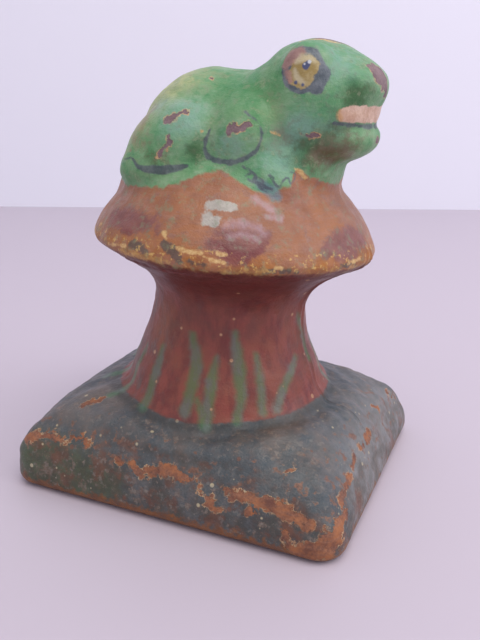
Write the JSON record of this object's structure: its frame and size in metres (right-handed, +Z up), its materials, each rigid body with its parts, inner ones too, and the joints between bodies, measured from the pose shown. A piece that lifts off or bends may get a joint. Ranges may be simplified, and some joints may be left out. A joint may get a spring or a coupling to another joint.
{
  "type": "frog on toadstool doorstop figure",
  "caption": "Free-standing painted cast iron figure: a frog on a toadstool with a waisted stem and a pillow-shaped plinth.",
  "frame": {"origin": "centre of the plinth's foot, on the surface that it stands on", "axes": "+X the way the frog faces, along the plinth's long side; +Y the frog's left; +Z up"},
  "size_m": [0.088, 0.076, 0.1079],
  "materials": {
    "painted_iron_right": "old brushed oil paint over cream primer, worn and chipped",
    "painted_iron_left": "old brushed oil paint over cream primer, worn and chipped",
    "screw_steel": "browned and oxidised"
  },
  "bodies": {
    "root": {"right_half_casting": "painted_iron_right", "left_half_casting": "painted_iron_left", "stem_screw": "screw_steel", "body_screw": "screw_steel"}
  },
  "joints": []
}
